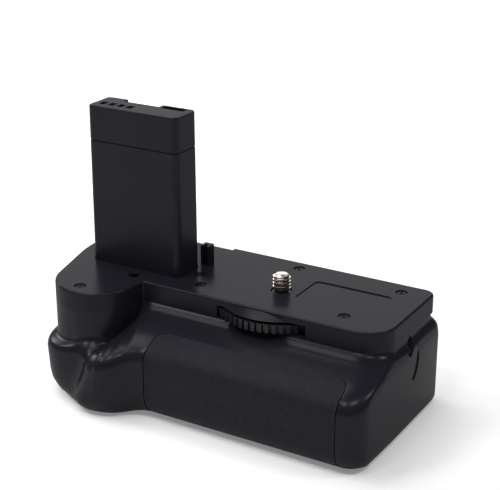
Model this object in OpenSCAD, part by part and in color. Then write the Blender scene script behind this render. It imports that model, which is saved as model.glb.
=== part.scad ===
// Camera battery grip: a moulded body that screws under a camera, with a tower that fills its battery well.
// The origin is the mounting stud's axis on the plate that meets the camera.
// +X runs along the grip away from the tower, +Z is up.

/* [Plate] */
// How far the plate's right end stands in from the body's
plate_in = 2.9; // [2.4:0.1:3.2]
// Stud axis to the front edge of the plate
plate_front = 18; // [17:0.1:19]
// Stud axis to the back edge of the plate
plate_back = 26.3; // [25.5:0.1:27]
// Rounding of the plate's front right corner
plate_corner = 10.5; // [6:0.1:12]
// Rounding of the plate's back right corner
plate_back_corner = 4; // [3:0.1:6]
// Height of the cover's rim
rim_h = 6.8; // [6.6:0.1:7.4]
// Thickness of the cover's top
cover_t = 2; // [1.8:0.1:2.2]
// Wall of the cover and the body
wall = 2.2; // [1.8:0.1:2.4]
// How far the cover overhangs the body at the back
overhang = 1.7; // [1:0.1:2]

/* [Hand column] */
// Stud axis to the column's front face
column_front = 38.2; // [37:0.1:39]
// Stud axis to the column's right side
column_right = 47.6; // [47:0.1:48.4]
// Stud axis to the column's left front corner
column_left = 74.3; // [73:0.1:75]
// Rounding of the column's nose
nose_round = 13; // [11:0.1:13.2]
// Stud axis to the corner between column and front edge
crook_x = 46.3; // [45.6:0.1:46.8]
// Stud axis to the bend of the left end
end_left = 84.5; // [83:0.1:86]
// Drop from the plate to the column's crease
column_drop = 17; // [16:0.1:18.5]

/* [Body] */
// Height of the posts under the chamber
riser_h = 3.4; // [2.9:0.1:5]
// Room between the chamber and the front wall
front_room = 5.2; // [4.7:0.1:7]
// Room between the chamber and the right wall
side_room = 4.8; // [4.2:0.1:5.6]
// Stud axis to the back of the body
body_back = 28; // [27.8:0.1:29]
// How far the body flares past the column
flare = 3.5; // [2:0.1:5]
// Drop from the plate to the foot of the front slope's shoulder
shoulder_drop = 20; // [18:0.1:22]
// Drop from the plate to where the back is fullest
waist_drop = 14.2; // [13:0.1:14.4]
// How far the finger lobe stands out past the front
lobe_reach = 8; // [6:0.1:9]
// Rounding of the body's front right corner
body_corner = 7.8; // [7.4:0.1:8.6]
// Rounding between the floor and the front
front_fillet = 9; // [7:0.1:9.5]
// Rounding between the floor and the ends
end_fillet = 3.5; // [3:0.1:4]
// Rounding under the left end
heel_fillet = 12; // [10:0.1:13]
// Rounding under the finger lobe
lobe_fillet = 6; // [5:0.1:7]
// Thickness of the floor
floor_t = 2.2; // [2:0.1:2.6]
// Width of the housing's flat rim round the base plate
base_rim = 0.6; // [0.5:0.1:1]
// Width of the ledge that the base plate bears on
base_ledge = 2; // [1.5:0.1:2.2]

/* [Grip pad] */
// Stud axis to the pad's left edge
pad_left = 31.4; // [29:0.1:32]
// Plain strip between the pad and the front right corner's rounding
pad_margin = 0.8; // [0.6:0.1:3]
// Stud axis to the pad's upper edge
pad_top = 29.5; // [28:0.1:31]
// Thickness of the pad
pad_t = 1; // [0.8:0.1:1.3]
// Rounding of the pad's upper corners
pad_corner = 4.5; // [3:0.1:6]
// Seam round the pad
pad_gap = 0.3; // [0.2:0.05:0.4]

/* [Stud and wheel] */
// Diameter of the mounting stud
stud_d = 6.35; // [6.2:0.01:6.4]
// Height of the stud over the plate
stud_h = 6.3; // [5:0.1:7]
// Diameter of the stud's shaft
shaft_d = 6.4; // [6.4:0.01:6.6]
// Diameter of the wheel over its ribs
wheel_d = 45.6; // [44:0.1:46]
// Drop from the plate to the wheel's top
wheel_drop = 3.3; // [3.2:0.05:3.4]
// Thickness of the wheel
wheel_h = 3.1; // [2.8:0.05:3.1]
// Number of ribs round the wheel
rib_count = 57; // [40:1:64]
// Height of the ribs
rib_h = 1; // [0.6:0.1:1.2]
// Half the width of the window in the rim
window_half = 17.2; // [17:0.1:18]
// Stud axis to the window's middle
window_x = 1.8; // [0:0.1:2]
// Reach of the hood over the wheel
hood_r = 22; // [20:0.1:22.4]
// Running clearance of the shaft in its bush
running_gap = 0.05; // [0.02:0.01:0.1]

/* [Tower] */
// Width of the tower at the plate
tower_w = 38.2; // [36:0.1:38.4]
// Depth of the tower at the plate
tower_d = 14; // [13:0.1:14.5]
// Height of the tower over the plate
tower_h = 58.5; // [54:0.5:60]
// Stud axis to the tower's middle along the grip
tower_x = 55.6; // [55.4:0.1:56]
// Stud axis to the tower's middle across the grip
tower_y = 2.4; // [2:0.1:2.8]
// Taper of each side over the tower's height
tower_taper = 0.2; // [0.1:0.1:0.8]
// Height of the cap on the tower
cap_h = 12.7; // [11:0.1:14]
// Rounding of the tower's upright edges
tower_round = 2.4; // [1.5:0.1:3]
// Wall of the tower
tower_wall = 1.5; // [1.2:0.1:1.8]

/* [Batteries] */
// Width of a battery
battery_w = 36.2; // [34:0.1:36.4]
// Length of a battery
battery_l = 49; // [45:0.1:49.2]
// Thickness of a battery
battery_t = 14.7; // [12:0.1:14.8]
// Play of a battery in its bay
bay_play = 0.6; // [0.4:0.1:0.7]
// Wall of the tray and of the chamber
tray_wall = 1.6; // [1.4:0.1:1.7]
// Running gap between tray and chamber
tray_gap = 0.4; // [0.3:0.05:0.5]
// Stud axis to the middle of the chamber
chamber_x = 2; // [1.6:0.1:2.2]
// Drop from the plate to the chamber's roof
chamber_drop = 14.5; // [14.3:0.1:14.8]

/* [Controls] */
// Diameter of the shutter button
button_d = 9.4; // [8:0.1:10]
// Travel of the shutter button
button_travel = 1; // [0.6:0.1:1.4]
// Diameter of the shutter button's collar
collar_d = 12.4; // [12:0.1:13]
// Tilt of the shutter button below level
button_tilt = 20; // [15:1:22]
// Length of the power slider's knob
slider_l = 6; // [5:0.1:7]
// Travel of the power slider
slider_travel = 5; // [4:0.1:6]
// Diameter of the tray's lock knob
knob_d = 15; // [13:0.1:16]

/* [Hidden] */
$fn = 48;

// Clearance that lets a cut run past a face
past = 1;
// Gap between pieces that are pushed together
seat_gap = 0.02;
// Gap between curved pieces that pass each other
free_gap = 0.35;

// Chamber and tray, from the batteries
bay_w = battery_w + bay_play;
bay_l = battery_l + bay_play;
bay_t = battery_t + bay_play;
tray_w = 2 * bay_w + 3 * tray_wall;
tray_h = bay_t + tray_wall;
chamber_w = tray_w + 2 * tray_gap;
chamber_h = tray_h + 2 * tray_gap;
chamber_top = -chamber_drop - tray_wall;
chamber_floor = chamber_top - chamber_h;
tray_bottom = chamber_floor + tray_gap;
// Room for the lock behind the tray, and for the contacts before it
lock_space = 2.8;
contact_room = 1.2;
panel_inner = body_back - wall;
tray_rear = panel_inner - lock_space;
tray_front = tray_rear - bay_l - 2 * tray_wall;
chamber_front = tray_front - contact_room;
chamber_mid_z = (chamber_top + chamber_floor) / 2;
cage_bottom = chamber_floor - tray_wall;
cage_w = chamber_w + 2 * tray_wall;
cage_left = chamber_x - cage_w / 2;
cage_rear = tray_rear - tray_gap;

// The body's outer sizes, from the chamber inside it
body_h = riser_h + floor_t - cage_bottom;
body_front = front_room + wall + tray_wall - chamber_front;
body_right = chamber_x + chamber_w / 2 + tray_wall + side_room + wall;
plate_right = body_right - plate_in;
pad_right = body_right - body_corner - pad_margin;

// Drop of the parting line's lower lip, where the body's wall starts to spread
seam_lip = 0.6;
seam_drop = rim_h + seam_lip;
// How sharply the shoulder turns, and how much of the drop is plain slope
shoulder_power = 6;
slope_share = 0.42;
// How much of the drop is a hollow under the seam, and how far out that reaches
cove_share = 0.1;
cove_reach = 0.13;
// Shares of the way out where the wall's profile is stepped, and steps round the floor fillet
PROFILE = [0, 0.03, 0.07, 0.13, 0.32, 0.52, 0.68, 0.8, 0.89, 0.95, 0.985, 1];
fillet_steps = 5;
// The same shares for the inner face, and its depth under the slope as a share of the wall
INNER_PROFILE = [0, 0.13, 0.5, 0.68, 0.8, 0.9, 1];
under_slope = 0.8;

// Corners of the plate, counter-clockwise from the front right, and how far each rounding reaches:
// front right, right end, back right, back left, left bend, column's left and right,
// two on the column's right side, crook, and before the pad's right end
column_corner = [-column_right, -column_front];
crook = [-crook_x, -plate_front];
PLATE_CORNERS = [
    [plate_right, -plate_front], [plate_right, 3], [plate_right, plate_back], [-end_left + 3, plate_back],
    [-end_left - 0.8, 3], [-column_left, -column_front], column_corner, mix(column_corner, crook, 0.74),
    mix(column_corner, crook, 0.88), crook, [plate_right - plate_corner - 2, -plate_front]
];
PLATE_REACH = [plate_corner, 2, plate_back_corner, 11, 9, nose_round, nose_round, 0.4, 0.4, 0.8, 0.5];

// The same corners at the body's fullest outline: the groove and the finger lobe lie between column and pad
lobe_front = body_front + lobe_reach;
groove = [-column_right - 8.6, -column_front - flare + 0.4];
crook_foot = -crook_x + 11.3;
pad_end = pad_right + 0.2;
BODY_CORNERS = [
    [body_right, -body_front], [body_right, -10], [body_right, body_back], [-end_left + 4, body_back],
    [-end_left - 1.5, 2], [-column_left - flare + 1.9, -column_front - 4.4], groove,
    [-column_right - 3.4, -lobe_front + 0.4], [-crook_x + 2.3, -lobe_front + 0.4], [crook_foot, -body_front],
    [pad_end, -body_front]
];
BODY_REACH = [body_corner, 2, 7, 12, 12, 12, 3.4, 4, 4, 5, 0.4];

// At the top of the rounding into the floor: the groove has run out
HEEL_CORNERS = [
    [body_right, -body_front], [body_right, -10], [body_right, body_back], [-end_left + 4, body_back],
    [-end_left - 1.5, 2], [-column_left - flare + 2.4, -column_front - 2.6], groove + [-3.2, -3.4],
    [-column_right - 6.4, -lobe_front - 0.4], [-crook_x + 2.1, -lobe_front], [crook_foot, -body_front],
    [pad_end, -body_front]
];
HEEL_REACH = [body_corner, 2, 7, 12, 12, 12, 6, 5, 5, 5, 0.4];

// And where the walls have turned into the floor
FLOOR_CORNERS = [
    [body_right - end_fillet, -body_front + front_fillet], [body_right - end_fillet, -10],
    [body_right - end_fillet, body_back - end_fillet], [-end_left + 9, body_back - end_fillet],
    [-end_left + heel_fillet, 2], [-column_left + 6, -column_front + 5], groove + [-1.5, 1.5],
    [-column_right - 4, -lobe_front + lobe_fillet], [-crook_x + 2.5, -lobe_front + lobe_fillet + 1],
    [crook_foot, -body_front + front_fillet], [pad_end, -body_front + front_fillet]
];
FLOOR_REACH = [5, 2, 4, 8, 10, 8, 5, 4, 5, 5, 0.4];

// Drops at each corner: where the wall leaves the plate's outline, and where it is fullest
LEAVE_DROP = [
    seam_drop, seam_drop, seam_drop, seam_drop, column_drop + 2.6, column_drop + 2.4, column_drop - 1.5,
    mix(column_drop, seam_drop, 0.42), mix(column_drop, seam_drop, 0.66), seam_drop, seam_drop
];
FULL_DROP = [
    shoulder_drop, shoulder_drop - 3, waist_drop, waist_drop, column_drop + 7.6, column_drop + 7,
    column_drop + 8, shoulder_drop + 6, shoulder_drop + 3, shoulder_drop, shoulder_drop
];
// Height of the rounding into the floor at each corner
FLOOR_RISE = [
    front_fillet, end_fillet, end_fillet, end_fillet + 2, heel_fillet, lobe_fillet + 3, lobe_fillet,
    lobe_fillet, lobe_fillet + 1, front_fillet, front_fillet
];
// Steps round each corner and along the edge that follows it
CORNER_STEPS = [8, 1, 5, 6, 6, 9, 9, 8, 7, 8, 1];
EDGE_STEPS = [2, 2, 3, 3, 4, 2, 2, 2, 2, 3, 1];

// Cover screws that reach the body, those that reach the chamber, and those that hold the stud plate
BODY_SCREWS = [
    [-column_left + 11.4, -column_front + 5.8], [-crook_x - 5.8, -plate_front + 3.1],
    [-end_left + 9.5, plate_back - 10.3]
];
CHAMBER_SCREWS = [[-32.2, -2.4], [plate_right - 10.5, plate_back - 7]];
PLATE_SCREWS = [[-4.1, plate_back - 5.7], [28.6, -plate_front + 9.5], [-27, -plate_front + 8]];
// Ribs that tie the body screws' bosses to the nearest wall, as [direction, length]
BOSS_RIBS = [[-90, 4.8], [-45, 4.8], [180, 7]];
boss_rib_w = 1.6;
boss_h = 10.5;
screw_r = 1.1;
screw_head_r = 1.9;
screw_head_h = 0.8;
screw_well_r = 2.1;
screw_well = 1.1;
screw_boss_r = 3;
screw_play = 0.2;

// Stud plate, bush and clip under the cover
stud_plate_t = 0.45 * cover_t;
stud_plate_r = 11;
bush_r = 5;
bush_top = 0.9;
clip_r = 3.4;
clip_t = 0.4;
clip_gap = 0.1;
clip_mouth = 3.2;
groove_r = 2.6;
stud_hole_r = clip_r + free_gap;
shaft_r = shaft_d / 2;
stud_r = stud_d / 2;
wheel_r = wheel_d / 2;
hub_r = 7;
hub_gap = 0.05 * cover_t;
wheel_rim = 4;
wheel_recess = 1.2;

// Base screws hold the chamber to posts on the floor
inner_floor = -body_h + floor_t;
base_post_r = 3.2;
base_in = 2.8 + base_post_r;
BASE_SCREWS = [
    for (side = [-1, 1], y = [chamber_front + base_in, cage_rear - base_in])
        [chamber_x + side * (chamber_w / 2 - base_in), y]
];

// Shutter button on the rounding under the left end
button_y = -4;
button_r = button_d / 2;
collar_r = collar_d / 2;
collar_depth = 9;
collar_proud = 0.3;
heel_x = -end_left - 0.4 + heel_fillet;
button_point = [
    heel_x - heel_fillet * cos(button_tilt), button_y, -body_h + heel_fillet - heel_fillet * sin(button_tilt)
];

// Power slider in the back wall, left of the tray
slider_mid = [-57, chamber_mid_z];
slider_h = 3.6;
slider_gap = 0.4;

// Strap eye in the right end: a leaf-shaped dish with a slanted slit at its upper end and a bar in the slit
eye_mid = [2, -15.2];
eye_half_h = 8;
eye_half_w = 3.8;
dish_depth = 1.2;
slit_mid = [1.2, -10.4];
slit_l = 7;
slit_w = 2.4;
slit_depth = 5.7;
slit_tilt = 45;
strap_bar_r = 0.6;
strap_bar_depth = 4;
// Block behind the slit, as [thick, wide, high], and its wall behind the slit
SLIT_BLOCK = [3, 8.8, 8];
slit_back = 1;
slit_block_z = -seam_drop - seam_lip - SLIT_BLOCK.z;

// Vector helpers
function unit(v) = v / norm(v);
function leftward(v) = [-v.y, v.x];
function mix(a, b, t) = a + (b - a) * t;
function eased(t) = t * t * (3 - 2 * t);

// Point on the circular arc that leaves one edge at a, turns under the corner b and joins the other edge at c
function arc_point(a, b, c, t) =
    let (turn = unit(a - b) * unit(c - b), w = sqrt(max(0, (1 - turn) / 2)))
    (a * pow(1 - t, 2) + b * 2 * w * t * (1 - t) + c * t * t) / (pow(1 - t, 2) + 2 * w * t * (1 - t) + t * t);

// Reaches drawn in where two roundings would meet on a short edge
function edge_share(corners, reach, i) =
    let (j = (i + 1) % len(corners)) min(1, 0.97 * norm(corners[j] - corners[i]) / (reach[i] + reach[j]));
function fitted(corners, reach) = [
    for (i = [0:len(corners) - 1])
        let (before = (i + len(corners) - 1) % len(corners))
        reach[i] * min(edge_share(corners, reach, before), edge_share(corners, reach, i))
];
// Closed outline of arcs and straight stretches through rounded corners
function outline(corners, wanted) = let (reach = fitted(corners, wanted)) [
    for (i = [0:len(corners) - 1])
        let (
            n = len(corners),
            last = corners[(i + n - 1) % n],
            here = corners[i],
            next = corners[(i + 1) % n],
            a = here + unit(last - here) * reach[i],
            c = here + unit(next - here) * reach[i],
            d = next + unit(here - next) * reach[(i + 1) % n]
        )
        each concat(
            [for (s = [0:CORNER_STEPS[i] - 1]) arc_point(a, here, c, s / CORNER_STEPS[i])],
            [for (s = [0:EDGE_STEPS[i] - 1]) mix(c, d, s / EDGE_STEPS[i])]
        )
];

// One value a corner, eased from the middle of each corner to the middle of the next
function stretch(i) = CORNER_STEPS[i] / 2 + EDGE_STEPS[i] + CORNER_STEPS[(i + 1) % len(CORNER_STEPS)] / 2;
function between(values, i, steps) = mix(values[i], values[(i + 1) % len(values)], eased(steps / stretch(i)));
function along(values) = [
    for (i = [0:len(values) - 1])
        let (before = (i + len(values) - 1) % len(values), half = CORNER_STEPS[i] / 2)
        each concat(
            [for (s = [0:CORNER_STEPS[i] - 1])
                s < half ? between(values, before, stretch(before) - half + s)
                    : between(values, i, s - half)],
            [for (s = [0:EDGE_STEPS[i] - 1]) between(values, i, half + s)]
        )
];

// Unit normals that point into a closed counter-clockwise outline
function inward(path) = [
    for (i = [0:len(path) - 1])
        leftward(unit(path[(i + 1) % len(path)] - path[(i + len(path) - 1) % len(path)]))
];
function inset(path, d) = let (n = inward(path)) [for (i = [0:len(path) - 1]) path[i] + n[i] * d];

// Share of the drop reached at share w of the way out: a hollow, a plain slope and a rounded shoulder
function cove(w) = 1 - pow(1 - min(1, w / cove_reach), 2);
function shoulder(w) = 1 - sqrt(max(0, 1 - pow(w, shoulder_power)));
function fall(w) = cove_share * cove(w) + slope_share * w + (1 - cove_share - slope_share) * shoulder(w);

// Outlines and drops at every step round the body; the seat under the cover stays clear of its overhang
PLATE = outline(PLATE_CORNERS, PLATE_REACH);
SEAT = outline([for (p = PLATE_CORNERS) [p.x, min(p.y, plate_back - overhang)]], PLATE_REACH);
BODY = outline(BODY_CORNERS, BODY_REACH);
LEAVE = along(LEAVE_DROP);
FULL = along(FULL_DROP);
HEEL = outline(HEEL_CORNERS, HEEL_REACH);
FLOOR = outline(FLOOR_CORNERS, FLOOR_REACH);
RISE = along(FLOOR_RISE);
SAMPLES = [0:len(BODY) - 1];

// Rings of the body's skin: level ones, down the spread of the wall, and round the rounding into the floor
function level_ring(path, z) = [for (p = path) [p.x, p.y, z]];
function spread_ring(seat, body, w, lower) = [
    for (i = SAMPLES)
        let (p = mix(seat[i], body[i], w)) [p.x, p.y, -mix(LEAVE[i], FULL[i], fall(w)) - lower]
];
function floor_ring(a) = [
    for (i = SAMPLES)
        let (p = mix(HEEL[i], FLOOR[i], 1 - cos(a))) [p.x, p.y, -body_h + RISE[i] * (1 - sin(a))]
];
function inner_heel_ring(heel) = [for (i = SAMPLES) [heel[i].x, heel[i].y, -body_h + RISE[i] + floor_t / 4]];

// Closed solid through rings with equal numbers of points, with the last ring joined to the first
module wrap(rings) {
    n = len(rings[0]);
    faces = [
        for (r = [0:len(rings) - 1], i = [0:n - 1])
            let (j = (i + 1) % n, low = r * n, high = (r + 1) % len(rings) * n)
            each [[high + i, high + j, low + j], [high + i, low + j, low + i]]
    ];
    polyhedron([for (ring = rings) each ring], faces, convexity = 10);
}

// Bare moulding of the body: a drawn-in seat, column, finger lobe and rounded heel, open above and below
module body_ring() {
    seat_in = inset(SEAT, wall);
    body_in = inset(BODY, wall);
    outer = concat(
        [for (s = [fillet_steps:-1:0]) floor_ring(90 * s / fillet_steps)],
        [for (k = [len(PROFILE) - 1:-1:0]) spread_ring(SEAT, BODY, PROFILE[k], 0)],
        [level_ring(SEAT, -rim_h)]
    );
    inner = concat(
        [level_ring(seat_in, -rim_h)],
        [for (w = INNER_PROFILE) spread_ring(seat_in, body_in, w, under_slope * wall)],
        [inner_heel_ring(inset(HEEL, wall)), level_ring(FLOOR, inner_floor)]
    );
    ledge = [
        level_ring(inset(FLOOR, base_rim + base_ledge), inner_floor),
        level_ring(inset(FLOOR, base_rim + base_ledge), ledge_z),
        level_ring(inset(FLOOR, base_rim), ledge_z),
        level_ring(inset(FLOOR, base_rim), -body_h)
    ];
    wrap(concat(outer, inner, ledge));
}
ledge_z = inner_floor - floor_t / 2;

// Front profile under the pad, as [forward, up] points from the pad's upper edge to under the front
function front_profile() = concat(
    [for (w = concat([(pad_top - plate_front) / (body_front - plate_front)],
        [for (p = PROFILE) if (p * (body_front - plate_front) > pad_top - plate_front + 1) p]))
        [mix(plate_front, body_front, w), -mix(seam_drop, shoulder_drop, fall(w))]],
    [for (s = [0:fillet_steps - 1])
        let (a = 90 * s / fillet_steps)
        [body_front - front_fillet * (1 - cos(a)), -body_h + front_fillet * (1 - sin(a))]]
);
function profile_normals(path) = [
    for (i = [0:len(path) - 1])
        leftward(unit(path[min(i + 1, len(path) - 1)] - path[max(i - 1, 0)]))
];
// Band along the front profile between two depths, negative outwards
module front_band(near, deep) {
    path = front_profile();
    normals = profile_normals(path);
    band = concat(
        [for (i = [0:len(path) - 1]) path[i] + normals[i] * -near],
        [for (i = [len(path) - 1:-1:0]) path[i] + normals[i] * -deep]
    );
    polygon([for (p = band) [-p.x, p.y]]);
}
// Rectangle with its two corners at the top rounded
module arch_plan(left, right, top, bottom, r) {
    translate([left, bottom]) square([right - left, top - r - bottom]);
    translate([left + r, top - r - past]) square([right - left - 2 * r, r + past]);
    for (x = [left + r, right - r]) translate([x, top - r]) circle(r);
}
module pad_form(near, deep, grow) {
    intersection() {
        translate([-pad_left - grow, 0, 0])
            rotate([90, 0, 90]) linear_extrude(pad_left + pad_right + 2 * grow) front_band(near, deep);
        translate([0, 0, -body_h - past]) linear_extrude(body_h + 2 * past)
            arch_plan(
                -pad_left - grow, pad_right + grow, -pad_top + grow, -body_front - pad_clear - past,
                pad_corner + grow
            );
    }
}

// Lens of two arcs, upright, with half width w and half height h
module lens(w, h) {
    r = (w * w + h * h) / (2 * w);
    intersection() {
        translate([r - w, 0]) circle(r);
        translate([w - r, 0]) circle(r);
    }
}
// Places its children in the right end at a [back, up] point, with their X along the grip's Y and their Z out
module at_end(x, p) {
    translate([x, p.x, p.y]) rotate([90, 0, 90]) children();
}
// Places its children at the shutter button with their Z pointing out
module at_button() {
    translate(button_point) rotate([0, 270 - button_tilt, 0]) children();
}

module main_housing() {
    color([0.09, 0.09, 0.1]) difference() {
        union() {
            body_ring();
            body_bosses();
            translate([body_right - slit_depth - slit_back, slit_mid.x - SLIT_BLOCK.y / 2, slit_block_z])
                cube(SLIT_BLOCK);
        }
        pad_form(-pad_clear, pad_t, pad_gap);
        tray_doorway();
        body_screw_holes();
        at_button() translate([0, 0, -collar_depth - past])
            cylinder(h = collar_depth + collar_clear, r = collar_r + seat_gap);
        slider_slot();
        strap_eye();
    }
}
// How far the pad's recess and the collar's hole are cut past the body's face
pad_clear = 3;
collar_clear = 9;
// Bosses under the cover, each with a rib to the wall beside it that starts clear of the screw's hole
module body_bosses() {
    rib_start = (screw_r + screw_boss_r) / 2;
    for (i = [0:len(BODY_SCREWS) - 1])
        translate([BODY_SCREWS[i].x, BODY_SCREWS[i].y, -rim_h - boss_h]) {
            cylinder(h = boss_h, r = screw_boss_r);
            rotate([0, 0, BOSS_RIBS[i][0]]) translate([rib_start, -boss_rib_w / 2, 0])
                cube([BOSS_RIBS[i][1] - rib_start, boss_rib_w, boss_h]);
        }
}
module body_screw_holes() {
    for (p = BODY_SCREWS)
        translate([p.x, p.y, -rim_h - body_screw_l]) cylinder(h = body_screw_l + past, r = screw_r);
}
module tray_doorway() {
    translate([chamber_x - chamber_w / 2, panel_inner - past, chamber_floor])
        cube([chamber_w, wall + 2 * past, chamber_h]);
}
module slider_slot() {
    translate([slider_mid.x, panel_inner + wall / 2, slider_mid.y]) cube([
        slider_l + slider_travel + 2 * slider_gap, wall + 2 * past, slider_h + 2 * slider_gap
    ], center = true);
}
// Plate that closes the housing from below, with posts under the chamber
module base_plate() {
    color([0.09, 0.09, 0.1]) difference() {
        union() {
            translate([0, 0, -body_h]) linear_extrude(ledge_z + body_h - seat_gap)
                polygon(inset(FLOOR, base_rim + seat_gap));
            translate([0, 0, -body_h]) linear_extrude(floor_t)
                polygon(inset(FLOOR, base_rim + base_ledge + seat_gap));
            for (p = BASE_SCREWS)
                translate([p.x, p.y, inner_floor - past]) cylinder(h = riser_h + past, r = base_post_r);
        }
        tripod_hole();
        base_screw_holes();
    }
}
module tripod_hole() {
    translate([0, 0, -body_h - past]) cylinder(h = floor_t + 2 * past, r = socket_r + seat_gap);
}
module base_screw_holes() {
    for (p = BASE_SCREWS) translate([p.x, p.y, -body_h - past]) {
        cylinder(h = floor_t + riser_h + 2 * past, r = screw_r + screw_play);
        cylinder(h = base_head_drop + past, r = screw_well_r);
    }
}
module strap_eye() {
    at_end(body_right - dish_depth, eye_mid) linear_extrude(dish_depth + past) lens(eye_half_w, eye_half_h);
    at_end(body_right - slit_depth, slit_mid) rotate([0, 0, slit_tilt])
        translate([-slit_l / 2, -slit_w / 2, 0]) cube([slit_l, slit_w, slit_depth + past]);
}
// Size of the tripod socket and lengths of the screws
socket_r = 6;
socket_l = 5.3;
socket_flange = 2;
socket_end = 0.6;
base_head_drop = 1.4;
body_screw_l = 9;
screw_bite = 5;

module strap_bar() {
    color("silver") at_end(body_right - strap_bar_depth, slit_mid) rotate([0, 0, slit_tilt])
        translate([0, strap_bar_r - slit_w / 2 + seat_gap, 0]) rotate([0, 90, 0])
        cylinder(h = slit_l - 2 * seat_gap, r = strap_bar_r, center = true);
}

module top_cover() {
    color([0.12, 0.12, 0.13]) difference() {
        union() {
            cover_shell();
            cover_bosses();
            wheel_hood();
            guide_post();
        }
        tower_hole();
        wheel_window();
        stud_hole();
        cover_screw_holes();
        label_recess();
    }
}
module cover_shell() {
    difference() {
        translate([0, 0, -rim_h]) linear_extrude(rim_h) polygon(PLATE);
        translate([0, 0, -rim_h - past]) linear_extrude(rim_h - cover_t + past) polygon(inset(SEAT, wall));
        back_step();
    }
}
// The back edge steps in behind the tower
module back_step() {
    translate([-end_left - past, plate_back - overhang, -rim_h - past])
        cube([end_left - step_x + past, overhang + past, rim_h + 2 * past]);
}
step_x = 35;
module cover_bosses() {
    for (p = concat(BODY_SCREWS, CHAMBER_SCREWS))
        translate([p.x, p.y, -rim_h]) cylinder(h = rim_h - past, r = screw_boss_r);
}
module wheel_hood() {
    intersection() {
        translate([0, 0, -hood_drop - hood_t])
            cylinder(h = hood_t, r1 = hood_r, r2 = plate_front + hood_root, $fn = 96);
        translate([-hood_r, -hood_r - past, -rim_h])
            cube([2 * hood_r, hood_r - plate_front + wall / 2 + past, rim_h]);
    }
}
hood_drop = 0.8;
hood_t = 1.6;
hood_root = 0.3;
window_h = rim_h - hood_drop - hood_t;
// Post right of the tower that guides the camera's battery door, with a channel down its front
post_at = [-37.2, 6];
post_w = 3.6;
post_h = 7.5;
channel_w = 1.6;
module guide_post() {
    translate([post_at.x, post_at.y, -past]) difference() {
        cube([post_w, post_w, post_h + past]);
        translate([(post_w - channel_w) / 2, -past, past])
            cube([channel_w, post_w / 2 + past, post_h + past]);
    }
}
module tower_hole() {
    translate([0, 0, -cover_t - past]) linear_extrude(cover_t + 2 * past)
        tower_plan(tower_w + 2 * tower_gap, tower_d + 2 * tower_gap);
}
module wheel_window() {
    translate([window_x - window_half, -plate_front - past, -rim_h - past])
        cube([2 * window_half, wall + 2 * past, window_h + past]);
    translate([0, 0, -rim_h - past]) cylinder(h = window_h + past, r = wheel_r + free_gap, $fn = 96);
}
module stud_hole() {
    translate([0, 0, -cover_t - past]) cylinder(h = cover_t + 2 * past, r = stud_hole_r);
    translate([0, 0, -cover_t - past]) cylinder(h = cover_t - bush_top + past, r = bush_r + seat_gap);
}
module cover_screw_holes() {
    for (p = concat(BODY_SCREWS, CHAMBER_SCREWS, PLATE_SCREWS)) translate([p.x, p.y, 0]) {
        translate([0, 0, -rim_h - past]) cylinder(h = rim_h + 2 * past, r = screw_r + screw_play);
        translate([0, 0, -screw_well]) cylinder(h = screw_well + past, r = screw_well_r);
    }
}
module label_recess() {
    translate([label_at.x, label_at.y, -label_depth]) linear_extrude(label_depth + past)
        arch_plan(0, label_w, label_l, 0, label_corner);
}
// Shallow bare panel in the plate
label_at = [6.8, -2.7];
label_w = 29.5;
label_l = 16.4;
label_corner = 2;
label_depth = 0.35;

// A screw as head and shank, standing with the top of its head at the origin
module screw(length) {
    translate([0, 0, -screw_head_h]) cylinder(h = screw_head_h, r = screw_head_r);
    translate([0, 0, -length]) cylinder(h = length - screw_head_h / 2, r = screw_r - seat_gap);
}
module cover_screws() {
    color([0.16, 0.16, 0.17]) for (p = concat(BODY_SCREWS, CHAMBER_SCREWS))
        translate([p.x, p.y, -screw_well + screw_head_h]) screw(rim_h + screw_bite);
}
module plate_screws() {
    color([0.16, 0.16, 0.17]) for (p = PLATE_SCREWS)
        translate([p.x, p.y, -screw_well + screw_head_h])
            screw(cover_t + stud_plate_t - screw_well + screw_head_h);
}
module base_screws() {
    color([0.3, 0.3, 0.32]) for (p = BASE_SCREWS)
        translate([p.x, p.y, -body_h + base_head_drop - screw_head_h]) mirror([0, 0, 1])
            screw(floor_t + riser_h + tray_wall - base_head_drop + screw_head_h - seat_gap);
}

module grip_rubber() {
    color([0.07, 0.07, 0.075]) pad_form(0, pad_t, 0);
}

// Rounded rectangle at the tower's place
module tower_plan(w, d) {
    translate([-tower_x, -tower_y]) round_rect(w, d, tower_round);
}
module round_rect(w, d, r) {
    square([w - 2 * r, d], center = true);
    square([w, d - 2 * r], center = true);
    for (x = [-1, 1], y = [-1, 1]) translate([x * (w / 2 - r), y * (d / 2 - r)]) circle(r, $fn = 24);
}
// How much narrower each side is at height z
function taper_at(z) = tower_taper * z / tower_h;
module tower_slab(z) {
    translate([0, 0, z]) linear_extrude(slab_t)
        tower_plan(tower_w - 2 * taper_at(z), tower_d - 2 * taper_at(z));
}
slab_t = 0.02;
seam_z = tower_h - cap_h;
// Flange that holds the tower under the cover, and the gap round the tower in the cover's hole
tower_flange = 1.4;
flange_t = 1.6;
tower_gap = 0.2;
module tower_shell() {
    color([0.1, 0.1, 0.11]) difference() {
        union() {
            hull() {
                tower_slab(0);
                tower_slab(seam_z - slab_t);
            }
            translate([0, 0, -cover_t - past]) linear_extrude(cover_t + 2 * past)
                tower_plan(tower_w, tower_d);
            translate([0, 0, -cover_t - flange_t]) linear_extrude(flange_t)
                tower_plan(tower_w + 2 * tower_flange, tower_d + 2 * tower_flange);
        }
        tower_bore(-cover_t - 2 * past, seam_z + past);
    }
}
module tower_bore(from, to) {
    translate([0, 0, from]) linear_extrude(to - from)
        tower_plan(tower_w - 2 * tower_taper - 2 * tower_wall, tower_d - 2 * tower_taper - 2 * tower_wall);
}
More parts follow.
